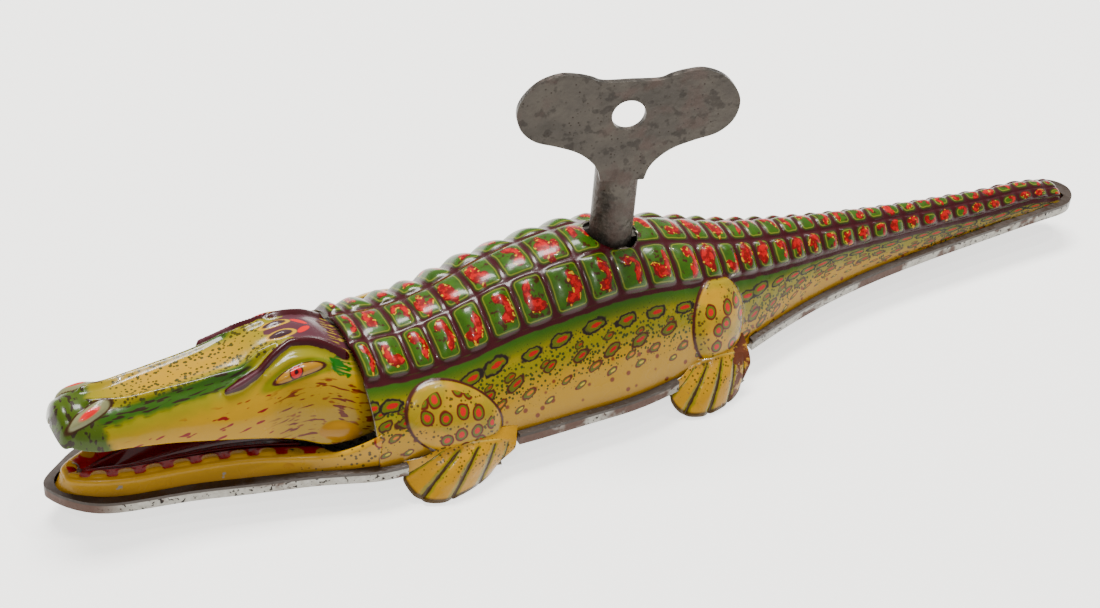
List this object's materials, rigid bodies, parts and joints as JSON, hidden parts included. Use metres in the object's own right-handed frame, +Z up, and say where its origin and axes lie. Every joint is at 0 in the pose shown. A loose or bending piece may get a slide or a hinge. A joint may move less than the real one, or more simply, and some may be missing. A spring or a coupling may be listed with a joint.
{
  "type": "tin wind-up crocodile",
  "caption": "Lithographed tin wind-up crocodile with a hinged snapping upper jaw, splayed feet, a butterfly key in its back and a flat clockwork under the shell.",
  "frame": {"origin": "centre of the overall box in plan, on the plane the feet stand on", "axes": "+X from the jaw tip towards the tail tip, +Y to the toy's right side, +Z up along the winding arbor"},
  "size_m": [0.1544, 0.0362, 0.046],
  "materials": {
    "litho_tin": "glossy printed lacquer over tinplate, yellow flanks under a green scaled back",
    "mouth_lacquer": "glossy dark maroon lacquer",
    "bare_tin": "dull bare tinplate with brown edges",
    "key_steel": "worn steel, pitted and lightly rusted",
    "spring_steel": "blued spring steel",
    "clock_brass": "satin stamped brass",
    "arbor_steel": "turned steel",
    "black_rubber": "matt rubber band"
  },
  "bodies": {
    "shell": {"body_shell": "litho_tin", "base_plate": "bare_tin", "mouth_lining": "mouth_lacquer", "hinge_ears": "bare_tin", "hinge_pin": "arbor_steel", "slide_guide": "bare_tin", "jaw_spring": "spring_steel", "spring_post": "bare_tin", "mainspring": "spring_steel", "lower_plate": "bare_tin", "upper_plate": "bare_tin", "plate_pillars": "arbor_steel", "mounting_posts": "arbor_steel", "crown_bridge": "bare_tin"},
    "head": {"head_shell": "litho_tin", "palate": "mouth_lacquer", "head_lever": "bare_tin"},
    "slide": {"jaw_slide": "bare_tin"},
    "key": {"winding_key": "key_steel"},
    "arbor": {"winding_arbor": "arbor_steel", "ratchet_wheel": "arbor_steel"},
    "great": {"great_wheel": "clock_brass", "click_rivet": "clock_brass", "click_spring": "spring_steel"},
    "click": {"click": "arbor_steel"},
    "crown": {"crown_arbor": "arbor_steel", "crown_pinion": "clock_brass", "crown_wheel": "clock_brass"},
    "axle": {"drive_axle": "arbor_steel", "axle_pinion": "clock_brass", "jaw_cam": "bare_tin", "left_wheel": "bare_tin", "right_wheel": "bare_tin", "left_tyre": "black_rubber", "right_tyre": "black_rubber"}
  },
  "joints": [
    {"name": "jaw_hinge", "type": "hinge", "parent": "shell", "child": "head", "pos_m": [-0.0388, 0, 0.009], "axis": [0, 1, 0], "range_deg": [-7.5, 0]},
    {"name": "jaw_slide_travel", "type": "slide", "parent": "shell", "child": "slide", "axis": [1, 0, 0], "range_m": [0, 0.000574]},
    {"name": "winding_turn", "type": "hinge", "parent": "great", "child": "arbor", "pos_m": [-0.0028, 0, 0.012], "axis": [0, 0, 1], "range_deg": [-1440, 0]},
    {"name": "key_lift", "type": "slide", "parent": "arbor", "child": "key", "axis": [0, 0, 1], "range_m": [0, 0.009]},
    {"name": "great_wheel_turn", "type": "hinge", "parent": "shell", "child": "great", "pos_m": [-0.0028, 0, 0.0117], "axis": [0, 0, 1], "continuous": true},
    {"name": "click_lift", "type": "hinge", "parent": "great", "child": "click", "pos_m": [-0.0028, 0.0056, 0.0125], "axis": [0, 0, 1], "range_deg": [0, 18], "stiffness_Nm_per_rad": 0.0001, "springref_deg": -11.46},
    {"name": "crown_turn", "type": "hinge", "parent": "shell", "child": "crown", "pos_m": [-0.0128, 0, 0.01], "axis": [0, 0, 1], "continuous": true},
    {"name": "axle_turn", "type": "hinge", "parent": "shell", "child": "axle", "pos_m": [-0.0128, 0, 0.0054], "axis": [0, 1, 0], "continuous": true}
  ],
  "couplings": [
    {"joint": "jaw_slide_travel", "follows": "jaw_hinge", "m_per_rad": -0.0043874},
    {"joint": "crown_turn", "follows": "great_wheel_turn", "ratio": -4},
    {"joint": "axle_turn", "follows": "great_wheel_turn", "ratio": -6}
  ]
}
